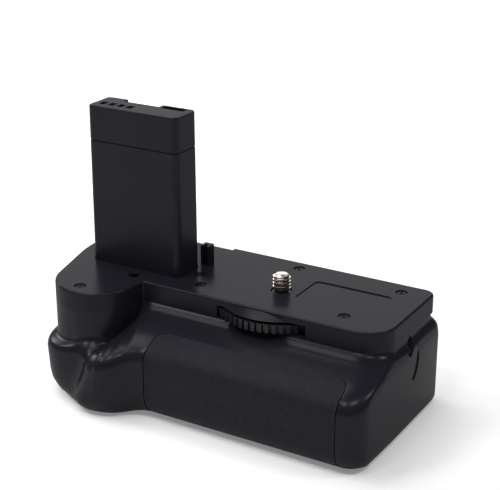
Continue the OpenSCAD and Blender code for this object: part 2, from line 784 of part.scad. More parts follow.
// Contact slots in the cap's top, left of the middle
slot_in = [4.2, 3.6];
slot_pitch = 3.8;
slot_w = 2.6;
slot_d = 3.2;
cap_top_t = 4.8;
SLOT_X = [for (i = [0:3]) -tower_x - tower_w / 2 + slot_in.x + i * slot_pitch];
slot_y = -tower_y - tower_d / 2 + slot_in.y;
module tower_cap() {
    color([0.11, 0.11, 0.12]) difference() {
        hull() {
            tower_slab(seam_z);
            tower_slab(tower_h - slab_t);
        }
        tower_bore(seam_z - past, tower_h - cap_top_t);
        for (x = SLOT_X) translate([x - slot_w / 2, slot_y, tower_h - cap_top_t - past])
            cube([slot_w, slot_d, cap_top_t + 2 * past]);
        cap_notch();
        cap_pocket();
    }
}
// The middle of the cap's rear edge is cut down, and a shallow pocket lies right of it
cap_back = -tower_y + tower_d / 2;
notch_x = -tower_x - 10.5;
notch_w = 15.5;
notch_d = 3.4;
notch_h = 2.4;
pocket_at = [-tower_x + 6.4, cap_back - 4.4];
pocket_w = 9.4;
pocket_d = 3;
pocket_h = 1.6;
module cap_notch() {
    translate([notch_x, cap_back - notch_d, tower_h - notch_h])
        cube([notch_w, notch_d + past, notch_h + past]);
}
module cap_pocket() {
    translate([pocket_at.x, pocket_at.y, tower_h - pocket_h])
        cube([pocket_w, pocket_d, pocket_h + past]);
}
// Blades bent to an L, with their feet against the underside of the cap's top
blade_t = 0.6;
blade_foot = 2.4;
blade_gap = 0.2;
module contact_blades() {
    blade_w = slot_w - 2 * blade_gap;
    blade_y = slot_y + slot_d - blade_t - blade_gap / 2;
    color("goldenrod") for (x = SLOT_X)
        translate([x - blade_w / 2, blade_y, tower_h - cap_top_t - blade_t]) {
            cube([blade_w, blade_t, cap_top_t]);
            cube([blade_w, blade_foot, blade_t]);
        }
}

// Wheel outline with square ribs, as one pass round the circle
function rib_outline() = [
    for (i = [0:rib_count - 1], s = [[0, rib_h], [0.06, 0], [0.68, 0], [0.74, rib_h]])
        let (a = 360 * (i + s[0]) / rib_count) (wheel_r - s[1]) * [cos(a), sin(a)]
];
module thumbwheel() {
    color([0.1, 0.1, 0.11]) difference() {
        union() {
            translate([0, 0, -wheel_drop - wheel_h]) linear_extrude(wheel_h) polygon(rib_outline());
            translate([0, 0, -wheel_drop])
                cylinder(h = wheel_drop - cover_t - stud_plate_t - hub_gap, r = hub_r);
        }
        translate([0, 0, -wheel_drop - wheel_h - past]) {
            cylinder(h = wheel_h + wheel_drop, r = shaft_r + seat_gap);
            difference() {
                cylinder(h = past + wheel_recess, r = wheel_r - wheel_rim);
                cylinder(h = past + wheel_recess, r = hub_r);
            }
        }
    }
}
module mounting_stud() {
    wheel_bottom = -wheel_drop - wheel_h;
    shaft_top = -bush_top + clip_gap / 2;
    shaft_foot = wheel_bottom + wheel_take_up;
    color("gainsboro") rotate_extrude() polygon([
        [0, stud_h], [stud_r - 3 * stud_lead, stud_h], [stud_r - stud_lead, stud_h - 1.2 * stud_lead],
        [stud_r, stud_h - 2.5 * stud_lead], [stud_r, 0], [groove_r, -stud_lead], [groove_r, shaft_top],
        [shaft_r, shaft_top], [shaft_r, shaft_foot], [wheel_screw_r, shaft_foot],
        [wheel_screw_r, -stud_solid], [0, -stud_solid]
    ]);
}
// Lead at the stud's end, its solid part over the wheel's screw, and the shaft's stand-back at the wheel
stud_lead = 0.3;
stud_solid = 2;
wheel_take_up = 0.3;
wheel_screw_r = 1.25;
arm_w = 4.4;
module stud_plate() {
    color([0.6, 0.6, 0.62]) translate([0, 0, -cover_t - stud_plate_t]) difference() {
        union() {
            cylinder(h = stud_plate_t, r = stud_plate_r);
            for (p = PLATE_SCREWS) {
                translate([p.x, p.y, 0]) cylinder(h = stud_plate_t, r = screw_boss_r);
                rotate([0, 0, atan2(p.y, p.x)]) translate([0, -arm_w / 2, 0])
                    cube([norm(p), arm_w, stud_plate_t]);
            }
        }
        translate([0, 0, -past]) cylinder(h = stud_plate_t + 2 * past, r = bush_r + seat_gap);
        translate([-plate_right, plate_back - overhang - wall - seat_gap, -past])
            cube([2 * plate_right, screw_boss_r, stud_plate_t + 2 * past]);
        for (p = PLATE_SCREWS)
            translate([p.x, p.y, -past]) cylinder(h = stud_plate_t + 2 * past, r = screw_r);
    }
}
module stud_bush() {
    color("darkgoldenrod") translate([0, 0, -cover_t - stud_plate_t]) difference() {
        cylinder(h = cover_t + stud_plate_t - bush_top, r = bush_r);
        translate([0, 0, -past]) cylinder(h = cover_t + 2 * past, r = shaft_r + running_gap);
    }
}
module stud_clip() {
    color([0.3, 0.3, 0.32]) translate([0, 0, -bush_top + clip_gap]) difference() {
        cylinder(h = clip_t, r = clip_r);
        translate([0, 0, -past]) cylinder(h = 2 * past, r = groove_r + seat_gap);
        translate([-clip_mouth / 2, 0, -past]) cube([clip_mouth, clip_r + past, 2 * past]);
    }
}
wheel_head_h = 1.3;
wheel_head_r = 3.8;
wheel_screw_l = 3.6;
module wheel_screw() {
    color("gainsboro") translate([0, 0, -wheel_drop - wheel_h]) {
        translate([0, 0, -wheel_head_h]) cylinder(h = wheel_head_h, r = wheel_head_r);
        translate([0, 0, -past]) cylinder(h = wheel_screw_l + past, r = wheel_screw_r - seat_gap);
    }
}

module battery_cage() {
    color([0.2, 0.2, 0.21]) difference() {
        union() {
            translate([cage_left, chamber_front - tray_wall, cage_bottom])
                cube([cage_w, cage_rear - chamber_front + tray_wall, chamber_h + 2 * tray_wall]);
            for (p = CHAMBER_SCREWS) translate([p.x, p.y, -chamber_drop - past])
                cylinder(h = chamber_drop - rim_h + past, r = screw_boss_r);
        }
        translate([chamber_x - chamber_w / 2, chamber_front, chamber_floor])
            cube([chamber_w, cage_rear - chamber_front + past, chamber_h]);
        cage_edge();
        for (p = CHAMBER_SCREWS) translate([p.x, p.y, -chamber_drop]) cylinder(h = chamber_drop, r = screw_r);
        for (p = BASE_SCREWS)
            translate([p.x, p.y, cage_bottom - past]) cylinder(h = tray_wall + 2 * past, r = screw_r);
        for (x = CONTACT_X) translate([x, chamber_front - tray_wall - past, chamber_mid_z])
            rotate([-90, 0, 0]) cylinder(h = tray_wall + 2 * past, r = pin_r + seat_gap);
    }
}
// The roof's front edge is taken off along the slope of the body above it
edge_drop = 1.3;
edge_back = 2.8;
module cage_edge() {
    front = chamber_front - tray_wall;
    translate([cage_left - past, 0, 0]) rotate([90, 0, 90])
        linear_extrude(cage_w + 2 * past) polygon([
            [front - past, -chamber_drop - edge_drop], [front, -chamber_drop - edge_drop],
            [front + edge_back, -chamber_drop], [front + edge_back, -chamber_drop + past],
            [front - past, -chamber_drop + past]
        ]);
}
// Spring pins in the chamber's front wall meet strips on the tray
pin_r = 1;
pin_out = 1.4;
pin_head_t = 0.6;
pin_head_r = 1.8;
contact_pitch = bay_w / 7;
CONTACT_X = [for (side = [-1, 1], k = [-1.5, -0.5, 0.5, 1.5]) bay_mid(side) + k * contact_pitch];
module cage_contacts() {
    color("goldenrod") for (x = CONTACT_X)
        translate([x, chamber_front - tray_wall - pin_head_t, chamber_mid_z]) rotate([-90, 0, 0]) {
            cylinder(h = tray_wall + pin_out, r = pin_r);
            cylinder(h = pin_head_t, r = pin_head_r);
        }
}
module battery_tray() {
    color([0.17, 0.17, 0.18]) difference() {
        translate([chamber_x - tray_w / 2, tray_front, tray_bottom])
            cube([tray_w, tray_rear - tray_front, tray_h]);
        for (side = [-1, 1]) {
            translate([bay_mid(side) - bay_w / 2, tray_front + tray_wall, tray_bottom + tray_wall])
                cube([bay_w, bay_l, tray_h]);
            finger_hole(side);
        }
        for (x = CONTACT_X) translate([x - strip_w / 2 - seat_gap, tray_front - past, strip_z])
            cube([strip_w + 2 * seat_gap, tray_wall + 2 * past, tray_h]);
    }
}
function bay_mid(side) = chamber_x + side * (bay_w + tray_wall) / 2;
// Hole in the floor that lets a finger push a battery out
finger_r = 6;
module finger_hole(side) {
    translate([bay_mid(side), tray_rear - 2 * finger_r, tray_bottom - past])
        cylinder(h = tray_wall + 2 * past, r = finger_r);
}
// Strips through the tray's front wall, set back from the pins and standing into the bays
strip_w = contact_pitch / 2;
strip_h = 0.46 * bay_t;
strip_z = chamber_mid_z - strip_h / 2;
strip_back = 0.1;
strip_in = 0.4;
module tray_contacts() {
    color("goldenrod") for (x = CONTACT_X) translate([x - strip_w / 2, tray_front + strip_back, strip_z])
        cube([strip_w, tray_wall - strip_back + strip_in, strip_h]);
}
// Panel that closes the doorway, with ribs that carry the tray
module tray_panel() {
    color([0.1, 0.1, 0.11]) difference() {
        union() {
            translate([chamber_x - tray_w / 2, panel_inner, tray_bottom]) cube([tray_w, wall, tray_h]);
            for (side = [-1, 1])
                translate([chamber_x + side * (tray_w / 2 - rib_w) - rib_w / 2, tray_rear, tray_bottom])
                    cube([rib_w, lock_space + past, tray_h - tray_wall]);
        }
        at_knob(panel_inner - past) cylinder(h = wall + 2 * past, r = knob_shaft_r + running_gap);
        at_knob(body_back - knob_recess) cylinder(h = knob_recess + past, r = knob_d / 2 + free_gap);
    }
}
rib_w = 6;
knob_shaft_r = 2.5;
knob_recess = 1;
knob_t = 1.2;
knob_gap = 0.1;
// Places its children on the panel's middle with their Z pointing out of the back
module at_knob(y) {
    translate([chamber_x, y, chamber_mid_z]) rotate([-90, 0, 0]) children();
}
module lock_knob() {
    color([0.13, 0.13, 0.14]) {
        at_knob(body_back - knob_recess + knob_gap) cylinder(h = knob_t, r = knob_d / 2);
        at_knob(panel_inner - bar_drop) cylinder(h = wall + bar_drop, r = knob_shaft_r);
        at_knob(body_back) translate([-wing_l / 2, -wing_w / 2, 0]) cube([wing_l, wing_w, wing_h]);
    }
}
wing_l = knob_d - 2.4;
wing_w = 2.6;
wing_h = 2;
// The bar lies level when unlocked; turned upright its ends stand behind the doorway's edges
bar_half = 10;
bar_w = 7.4;
bar_t = 1.4;
bar_drop = 2.1;
module lock_bar() {
    color([0.6, 0.6, 0.62]) at_knob(panel_inner - bar_drop) difference() {
        translate([-bar_half, -bar_w / 2, 0]) cube([2 * bar_half, bar_w, bar_t]);
        translate([0, 0, -past]) cylinder(h = 2 * past + bar_t, r = knob_shaft_r + seat_gap);
    }
}

module shutter_collar() {
    color([0.1, 0.1, 0.11]) at_button() difference() {
        translate([0, 0, -collar_depth]) cylinder(h = collar_depth + collar_proud, r = collar_r);
        translate([0, 0, -collar_depth - past])
            cylinder(h = collar_depth + collar_proud + 2 * past, r = button_r + free_gap);
    }
}
button_proud = 1.4;
button_crown = 0.2;
button_edge = 1;
button_h = 4;
module shutter_button() {
    color([0.13, 0.13, 0.14]) at_button() rotate_extrude() polygon([
        [0, button_proud + button_crown], [button_r - button_edge, button_proud],
        [button_r, button_proud - 0.8 * button_edge],
        [button_r, button_proud - button_h], [0, button_proud - button_h]
    ]);
}
// Push switch that stands on a round carrier closing the collar's inner end
module shutter_switch() {
    button_back = button_proud - button_h;
    switch_top = collar_depth + button_back - button_travel - push_gap;
    color([0.35, 0.35, 0.36]) at_button() {
        translate([0, 0, -collar_depth - carrier_t]) cylinder(h = carrier_t, r = collar_r);
        translate([-push_w / 2, -push_w / 2, -collar_depth - carrier_t / 2])
            cube([push_w, push_w, switch_top + carrier_t / 2]);
    }
}
carrier_t = 1.2;
push_w = 6;
push_gap = 0.6;
module power_slider() {
    color([0.13, 0.13, 0.14]) translate([slider_mid.x - slider_travel / 2, panel_inner, slider_mid.y]) {
        translate([-slider_l / 2, -slider_foot, -slider_h / 2])
            cube([slider_l, slider_foot + wall + slider_proud, slider_h]);
        translate([-slider_l / 2 - slider_lip.x, -slider_foot - slider_gap, -slider_h / 2 - slider_lip.y])
            cube([slider_l + 2 * slider_lip.x, slider_lip_t, slider_h + 2 * slider_lip.y]);
    }
}
// Foot of the slider behind the wall, its lip round the slot as [along, up], and how far the knob stands out
slider_foot = 0.9;
slider_lip = [2, 1.2];
slider_lip_t = 1;
slider_proud = 1.2;
module slide_switch() {
    color([0.35, 0.35, 0.36]) translate([slider_mid.x, panel_inner, slider_mid.y]) difference() {
        translate([-switch_w / 2, -switch_d, -switch_h / 2]) cube([switch_w, switch_d - seat_gap, switch_h]);
        translate([-track_w / 2, -track_d, -track_h / 2]) cube([track_w, track_d + past, track_h]);
    }
}
switch_w = 22;
switch_d = 6;
switch_h = 9.2;
track_w = 19;
track_d = 1.7;
track_h = 6.8;

module tripod_socket() {
    color("silver") translate([0, 0, -body_h]) difference() {
        union() {
            cylinder(h = socket_l, r = socket_r);
            translate([0, 0, floor_t]) cylinder(h = socket_l - floor_t, r = socket_r + socket_flange);
        }
        translate([0, 0, -past]) cylinder(h = socket_l - socket_end + past, r = stud_r);
    }
}

// Regulator board on the chamber's left side, with its coil and its chip as [out, back, up] blocks
board_t = 1.6;
board_l = 36;
board_y = -board_l / 2 - 2;
board_in = 1;
COIL = [2.4, 7, 7];
COIL_AT = [-COIL.x, 6, 3];
CHIP = [1.6, 10, 5];
CHIP_AT = [-CHIP.x, 18, 4];
module circuit_board() {
    color([0.1, 0.3, 0.16]) translate([cage_left - board_t, board_y, chamber_floor + board_in]) {
        cube([board_t, board_l, chamber_h - 3 * board_in]);
        translate(COIL_AT) cube(COIL);
        translate(CHIP_AT) cube(CHIP);
    }
}

main_housing();
base_plate();
top_cover();
cover_screws();
plate_screws();
base_screws();
grip_rubber();
tower_shell();
tower_cap();
contact_blades();
thumbwheel();
mounting_stud();
stud_plate();
stud_bush();
stud_clip();
wheel_screw();
battery_cage();
battery_tray();
tray_panel();
tray_contacts();
cage_contacts();
lock_knob();
lock_bar();
shutter_button();
shutter_collar();
shutter_switch();
power_slider();
slide_switch();
tripod_socket();
strap_bar();
circuit_board();
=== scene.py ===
import math
from typing import NamedTuple

import bmesh
import bpy
from bpy.props import FloatProperty, FloatVectorProperty, IntProperty, PointerProperty
from bpy.types import Operator, Panel, PropertyGroup
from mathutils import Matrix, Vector


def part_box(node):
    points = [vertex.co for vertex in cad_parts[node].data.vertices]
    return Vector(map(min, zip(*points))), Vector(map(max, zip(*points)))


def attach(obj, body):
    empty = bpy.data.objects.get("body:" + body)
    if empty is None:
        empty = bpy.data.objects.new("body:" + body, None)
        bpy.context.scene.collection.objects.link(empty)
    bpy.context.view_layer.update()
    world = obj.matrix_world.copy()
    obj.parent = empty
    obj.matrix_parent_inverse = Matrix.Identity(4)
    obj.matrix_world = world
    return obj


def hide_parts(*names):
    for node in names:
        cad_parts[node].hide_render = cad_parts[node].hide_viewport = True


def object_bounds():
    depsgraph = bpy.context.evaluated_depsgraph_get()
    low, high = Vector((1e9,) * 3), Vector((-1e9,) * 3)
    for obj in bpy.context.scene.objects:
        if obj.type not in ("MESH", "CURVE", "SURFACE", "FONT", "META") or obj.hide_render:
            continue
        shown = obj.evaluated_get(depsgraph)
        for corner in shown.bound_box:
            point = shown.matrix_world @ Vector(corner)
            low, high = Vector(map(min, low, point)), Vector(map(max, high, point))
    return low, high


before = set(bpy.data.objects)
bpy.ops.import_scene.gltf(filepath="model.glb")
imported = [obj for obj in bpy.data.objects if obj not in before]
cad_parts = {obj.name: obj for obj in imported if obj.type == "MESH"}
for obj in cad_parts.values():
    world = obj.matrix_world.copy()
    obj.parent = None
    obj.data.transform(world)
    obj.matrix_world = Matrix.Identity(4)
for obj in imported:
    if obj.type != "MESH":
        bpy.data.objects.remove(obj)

bl_info = {
    "name": "Battery grip dresser",
    "version": (1, 0, 0),
    "blender": (4, 5, 0),
    "location": "3D View > Sidebar > Grip",
    "description": "Finishes the moulded pieces, the stud, the screws and the pad of a camera battery grip",
    "category": "Object",
}

CAD_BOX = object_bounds()
MM = 0.001

# Corners closer than this become one corner
MERGE = 0.0002 * MM
# Heights and reaches closer than this are the same
SAME = 0.05 * MM
# Folds flatter than this are joined into one face
FLAT_FOLD = math.radians(0.3)
# Edges sharper than this are rounded
SHARP_EDGE = math.radians(38)
# Edges sharper than these break the smooth shading: on most pieces, on the stud and on the housing
SMOOTH_EDGE = math.radians(42)
THREAD_EDGE = math.radians(50)
SOFT_CREASE = math.radians(62)
# A face is level if its normal rises more than the first, and upright if it rises less than the second
LEVEL = 0.9
UPRIGHT = 0.1
# How strongly a large face keeps its own normal beside a small one
FACE_WEIGHT = 80


# Finishes

class Plastic(NamedTuple):
    """A moulded plastic: its material, its colour setting, its skin's roughness and weight, its grain."""
    material: str
    colour: str
    roughness: float
    skin: float
    grain_size: float
    grain_depth: float


class Metal(NamedTuple):
    """A metal: its material, its colour setting, its roughness and its tool marks."""
    material: str
    colour: str
    roughness: float
    mark_size: float
    mark_depth: float


PLASTICS = {
    "housing": Plastic("satin_housing", "housing", 0.24, 0.25, 0.22 * MM, 0.008 * MM),
    "cover": Plastic("satin_cover", "cover", 0.25, 0.2, 0.25 * MM, 0.012 * MM),
    "tower": Plastic("satin_tower", "tower", 0.3, 0.2, 0.25 * MM, 0.01 * MM),
    "control": Plastic("black_control", "control", 0.26, 0.5, 0.2 * MM, 0.008 * MM),
    "chamber": Plastic("grey_chamber", "chamber", 0.5, 0.3, 0.3 * MM, 0.012 * MM),
    "switch": Plastic("switch_body", "chamber", 0.45, 0.3, 0.3 * MM, 0.008 * MM),
}
METALS = {
    "nickel": Metal("bright_nickel", "nickel", 0.16, 0.5 * MM, 0.003 * MM),
    "steel": Metal("plain_steel", "steel", 0.32, 0.4 * MM, 0.004 * MM),
    "black_steel": Metal("black_steel", "screw", 0.45, 0.3 * MM, 0.004 * MM),
    "brass": Metal("turned_brass", "brass", 0.25, 0.4 * MM, 0.003 * MM),
    "gilt": Metal("gilt_contact", "gilt", 0.22, 0.4 * MM, 0.002 * MM),
}
# The finishes that have been made, by name
FINISHES = {}


def set_inputs(node, **values):
    """Sets a node's inputs by name, with _ for a space."""
    for name, value in values.items():
        node.inputs[name.replace("_", " ")].default_value = value


def add_node(finish, kind, operation=None, **values):
    """A node in a finish, with its operation and its inputs set."""
    node = finish.node_tree.nodes.new(kind)
    if operation:
        node.operation = operation
    set_inputs(node, **values)
    return node


def join(finish, out_socket, in_socket):
    """Links two sockets of one finish."""
    finish.node_tree.links.new(out_socket, in_socket)


def new_finish(name, colour):
    """A new material, and its shader set to one colour."""
    finish = bpy.data.materials.new(name)
    finish.use_nodes = True
    shader = finish.node_tree.nodes["Principled BSDF"]
    set_inputs(shader, Base_Color=(*colour, 1))
    return finish, shader


def object_place(finish):
    """Where a point of the object lies, in metres."""
    return add_node(finish, "ShaderNodeTexCoord").outputs["Object"]


def object_noise(finish, size, detail=3.0):
    """Noise with features of about a size in metres."""
    noise = add_node(finish, "ShaderNodeTexNoise", Scale=1 / size, Detail=detail)
    join(finish, object_place(finish), noise.inputs["Vector"])
    return noise.outputs["Fac"]


def object_cells(finish, size):
    """Cells of about a size in metres, as the distance from each cell's middle."""
    cells = add_node(finish, "ShaderNodeTexVoronoi", Scale=1 / size)
    join(finish, object_place(finish), cells.inputs["Vector"])
    return cells.outputs["Distance"]


def spread(finish, value, low, high):
    """A 0 to 1 value spread between two numbers."""
    ramp = add_node(finish, "ShaderNodeMapRange", To_Min=low, To_Max=high)
    join(finish, value, ramp.inputs["Value"])
    return ramp.outputs["Result"]


def shade(colour, share):
    """An opaque colour, made lighter or darker by a share."""
    return (*(min(1.0, part * share) for part in colour), 1)


def vary_tone(finish, shader, value, colour, start, end):
    """Lets the base colour run from one share of a colour to another with a 0 to 1 value."""
    ramp = add_node(finish, "ShaderNodeValToRGB")
    for stop, share in zip(ramp.color_ramp.elements, (start, end)):
        stop.color = shade(colour, share)
    join(finish, value, ramp.inputs["Fac"])
    join(finish, ramp.outputs["Color"], shader.inputs["Base Color"])


def vary_gloss(finish, shader, value, low, high):
    """Lets the roughness run between two numbers with a 0 to 1 value."""
    join(finish, spread(finish, value, low, high), shader.inputs["Roughness"])


def grain(finish, shader, height, depth):
    """Raised grain of a real depth on the shader's normal."""
    bump = add_node(finish, "ShaderNodeBump", Distance=depth, Strength=1.0)
    join(finish, height, bump.inputs["Height"])
    join(finish, bump.outputs["Normal"], shader.inputs["Normal"])
    return bump.outputs["Normal"]


def moulded_plastic(kind, colour):
    """Moulded plastic: a matt body of uneven tone under a satin skin, with a fine spark-eroded grain."""
    finish, shader = new_finish(kind.material, colour)
    set_inputs(shader, Specular_IOR_Level=0.0, Coat_Weight=kind.skin, Coat_Roughness=kind.roughness)
    vary_tone(finish, shader, object_noise(finish, size=14 * MM), colour, start=0.88, end=1.12)
    vary_gloss(finish, shader, object_noise(finish, size=6 * MM, detail=4.0), low=0.5, high=0.7)
    height = object_noise(finish, kind.grain_size, detail=2.0)
    normal = grain(finish, shader, height, kind.grain_depth)
    join(finish, normal, shader.inputs["Coat Normal"])
    return finish


def grained_rubber(colour):
    """Matt rubber with a pebbled grain, with a painted highlight on the tops of the pebbles and painted
    shade between them.
    """
    finish, shader = new_finish("grained_pad", colour)
    set_inputs(shader, Specular_IOR_Level=0.12)
    pebbles = object_cells(finish, size=0.5 * MM)
    # Painted highlight on the pebbles' raised tops and painted shade in the gaps between them, following the
    # bump's height
    vary_tone(finish, shader, pebbles, colour, start=1.5, end=0.6)
    vary_gloss(finish, shader, object_noise(finish, size=4 * MM), low=0.55, high=0.7)
    height = spread(finish, pebbles, low=1.0, high=0.0)
    grain(finish, shader, height, depth=0.06 * MM)
    return finish


def metal(kind, colour):
    """Plated or turned metal of uneven tone and gloss, with fine tool marks."""
    finish, shader = new_finish(kind.material, colour)
    set_inputs(shader, Metallic=1.0)
    vary_tone(finish, shader, object_noise(finish, size=1.2 * MM), colour, start=0.85, end=1.08)
    gloss = object_noise(finish, size=0.6 * MM)
    vary_gloss(finish, shader, gloss, low=0.8 * kind.roughness, high=1.25 * kind.roughness)
    grain(finish, shader, object_noise(finish, kind.mark_size), kind.mark_depth)
    return finish


def lacquered_board(colour):
    """Circuit board lacquer, with lighter and darker tracks that show through."""
    finish, shader = new_finish("green_board", colour)
    set_inputs(shader, Roughness=0.3)
    tracks = add_node(
        finish, "ShaderNodeTexBrick", Scale=300.0, Color1=shade(colour, 1.0), Color2=shade(colour, 1.3),
        Mortar=shade(colour, 0.6),
    )
    join(finish, object_place(finish), tracks.inputs["Vector"])
    join(finish, tracks.outputs["Color"], shader.inputs["Base Color"])
    return finish


def make_finish(name):
    """Makes a finish in the scene's colours."""
    colours = bpy.context.scene.grip_colours
    if name in PLASTICS:
        return moulded_plastic(PLASTICS[name], getattr(colours, PLASTICS[name].colour))
    if name in METALS:
        return metal(METALS[name], getattr(colours, METALS[name].colour))
    maker = {"pad": grained_rubber, "board": lacquered_board}[name]
    return maker(getattr(colours, name))


def finish_of(name):
    """The named finish, made when it is first asked for."""
    if name not in FINISHES:
        FINISHES[name] = make_finish(name)
    return FINISHES[name]


# Modelling helpers

def clear_selection():
    """Object mode with nothing selected."""
    if bpy.context.object and bpy.context.object.mode != "OBJECT":
        bpy.ops.object.mode_set(mode="OBJECT")
    bpy.ops.object.select_all(action="DESELECT")


def take(piece):
    """Makes a piece the only selected and active one."""
    clear_selection()
    piece.select_set(True)
    bpy.context.view_layer.objects.active = piece


def settle(piece):
    """Puts a piece's place, turn and scale into its mesh."""
    take(piece)
    bpy.ops.object.transform_apply(location=True, rotation=True, scale=True)


def in_edit_mode(piece):
    """Edit mode with every part of the piece selected."""
    take(piece)
    bpy.ops.object.mode_set(mode="EDIT")
    bpy.ops.mesh.select_all(action="SELECT")


def out_of_edit_mode():
    """Back to object mode."""
    bpy.ops.object.mode_set(mode="OBJECT")


def pick(piece, kind, wanted):
    """Selects, in edit mode, only the corners, edges or faces that a test accepts."""
    bpy.ops.mesh.select_mode(type=kind)
    bpy.ops.mesh.select_all(action="DESELECT")
    model = bmesh.from_edit_mesh(piece.data)
    for part in {"VERT": model.verts, "EDGE": model.edges, "FACE": model.faces}[kind]:
        part.select_set(wanted(part))
    bmesh.update_edit_mesh(piece.data)


def cast_of(node, name, join_level):
    """A copy of a CAD node as one skin with its flat faces joined up, the level ones only if asked."""
    piece = bpy.data.objects.new(name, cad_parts[node].data.copy())
    bpy.context.scene.collection.objects.link(piece)
    in_edit_mode(piece)
    bpy.ops.mesh.remove_doubles(threshold=MERGE)
    bpy.ops.mesh.customdata_custom_splitnormals_clear()
    if not join_level:
        pick(piece, "FACE", lambda face: abs(face.normal.z) < LEVEL)
    bpy.ops.mesh.dissolve_limited(angle_limit=FLAT_FOLD)
    out_of_edit_mode()
    return piece


def apply_modifier(piece, kind, **settings):
    """Adds a modifier, sets it and applies it."""
    take(piece)
    modifier = piece.modifiers.new(kind.title(), kind)
    for name, value in settings.items():
        setattr(modifier, name, value)
    bpy.ops.object.modifier_apply(modifier=modifier.name)


def round_edges(piece, width, segments):
    """Rounds the sharp edges by a width, or less where a face is too small for it, and merges what meets."""
    apply_modifier(
        piece, "BEVEL", width=width, segments=segments, limit_method="ANGLE", angle_limit=SHARP_EDGE,
        use_clamp_overlap=True, miter_outer="MITER_ARC",
    )
    in_edit_mode(piece)
    bpy.ops.mesh.remove_doubles(threshold=MERGE)
    out_of_edit_mode()


def round_picked(piece, wanted, width, segments):
    """Rounds only the edges that a test accepts, by a width."""
    in_edit_mode(piece)
    pick(piece, "EDGE", wanted)
    bpy.ops.mesh.bevel(offset=width, segments=segments, affect="EDGES", clamp_overlap=False)
    out_of_edit_mode()


def even_faces(piece):
    """Normals that lie flat on the large faces, so that only the rounded edges turn the light."""
    apply_modifier(piece, "WEIGHTED_NORMAL", keep_sharp=True, weight=FACE_WEIGHT)


def smooth(piece, angle=SMOOTH_EDGE):
    """Smooth shading that breaks at sharp edges."""
    take(piece)
    bpy.ops.object.shade_smooth_by_angle(angle=angle)


def turned(name, rings, segments):
    """A solid turned round Z through rings of radius and height, by extruding and scaling."""
    clear_selection()
    radius, height = rings[0]
    bpy.ops.mesh.primitive_circle_add(
        vertices=segments, radius=radius, fill_type="NGON", location=(0, 0, height), enter_editmode=True
    )
    for next_radius, next_height in rings[1:]:
        bpy.ops.mesh.extrude_region_move(TRANSFORM_OT_translate={"value": (0, 0, next_height - height)})
        share = next_radius / radius
        bpy.ops.transform.resize(value=(share, share, 1), center_override=(0, 0, next_height))
        radius, height = next_radius, next_height
    bpy.ops.mesh.select_all(action="SELECT")
    bpy.ops.mesh.normals_make_consistent(inside=False)
    out_of_edit_mode()
    piece = bpy.context.object
    piece.name = name
    settle(piece)
    return piece


def cut_block(piece, size):
    """Takes a block of a size, centred on the origin, out of a piece."""
    clear_selection()
    bpy.ops.mesh.primitive_cube_add(size=1)
    cutter = bpy.context.object
    cutter.scale = size
    settle(cutter)
    apply_modifier(piece, "BOOLEAN", operation="DIFFERENCE", object=cutter, solver="EXACT")
    bpy.data.objects.remove(cutter, do_unlink=True)


def joined(name, pieces):
    """Several pieces made one object."""
    take(pieces[0])
    for piece in pieces:
        piece.select_set(True)
    bpy.ops.object.join()
    pieces[0].name = name
    return pieces[0]


def copy_to(piece, offset):
    """A copy of a piece with its own mesh, moved by an offset that goes into the mesh."""
    twin = piece.copy()
    twin.data = piece.data.copy()
    bpy.context.scene.collection.objects.link(twin)
    twin.location = offset
    settle(twin)
    return twin


def paint(mesh, finish):
    """Gives a mesh one finish."""
    mesh.materials.clear()
    mesh.materials.append(finish_of(finish))


def hand_over(piece, finish, body, node):
    """Gives a finished piece its finish and its body, and hides the node that it stands for."""
    paint(piece.data, finish)
    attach(piece, body)
    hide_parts(node)


def dress_nodes(finish, *nodes):
    """Gives a finish to CAD nodes that keep their own shape."""
    for node in nodes:
        paint(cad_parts[node].data, finish)


def recast(node, name, finish, body, width=0, segments=2, shape=None, join_level=True):
    """A piece that stands for a CAD node: its shape, changed and with its edges rounded where asked."""
    piece = cast_of(node, name, join_level)
    if shape:
        shape(piece)
    if width:
        round_edges(piece, width, segments)
    smooth(piece)
    if width:
        even_faces(piece)
    hand_over(piece, finish, body, node)
    return piece


# Properties

def colour_property(name, description, default):
    """A colour that a user can change."""
    return FloatVectorProperty(
        name=name, description=description, default=default, subtype="COLOR", size=3, min=0, max=1
    )


def length_property(name, description, default):
    """A length in metres that a user can change."""
    return FloatProperty(
        name=name, description=description, default=default, min=0, unit="LENGTH", precision=5
    )


def power_property(name, description, default):
    """A light's power in watts that a user can change."""
    return FloatProperty(name=name, description=description, default=default, min=0, unit="POWER")


def share_property(name, description, default):
    """A share from 0 to 1 that a user can change."""
    return FloatProperty(
        name=name, description=description, default=default, min=0, max=1, subtype="FACTOR"
    )


class GripColours(PropertyGroup):
    """Colours of the grip's finishes."""
    housing: colour_property("Housing", "Satin plastic of the lower body", (0.0118, 0.0109, 0.0156))
    cover: colour_property("Cover", "Satin plastic of the plate", (0.0118, 0.0109, 0.0156))
    tower: colour_property("Tower", "Plastic of the tower", (0.0128, 0.0119, 0.0172))
    pad: colour_property("Pad", "Rubber of the grip pad", (0.0135, 0.0127, 0.0185))
    control: colour_property("Controls", "Plastic of the wheel, buttons and knobs", (0.0125, 0.0118, 0.016))
    chamber: colour_property("Chamber", "Plastic of the chamber, tray and switches", (0.05, 0.05, 0.053))
    nickel: colour_property("Nickel", "Plating of the stud and socket", (0.68, 0.62, 0.55))
    steel: colour_property("Steel", "Plate, bars and the wheel's screw", (0.55, 0.55, 0.57))
    screw: colour_property("Screws", "Blackened screws and clip", (0.006, 0.006, 0.008))
    brass: colour_property("Brass", "Bush of the stud", (0.62, 0.44, 0.18))
    gilt: colour_property("Gilt", "Contacts", (0.8, 0.55, 0.2))
    board: colour_property("Board", "Lacquer of the circuit board", (0.02, 0.12, 0.05))


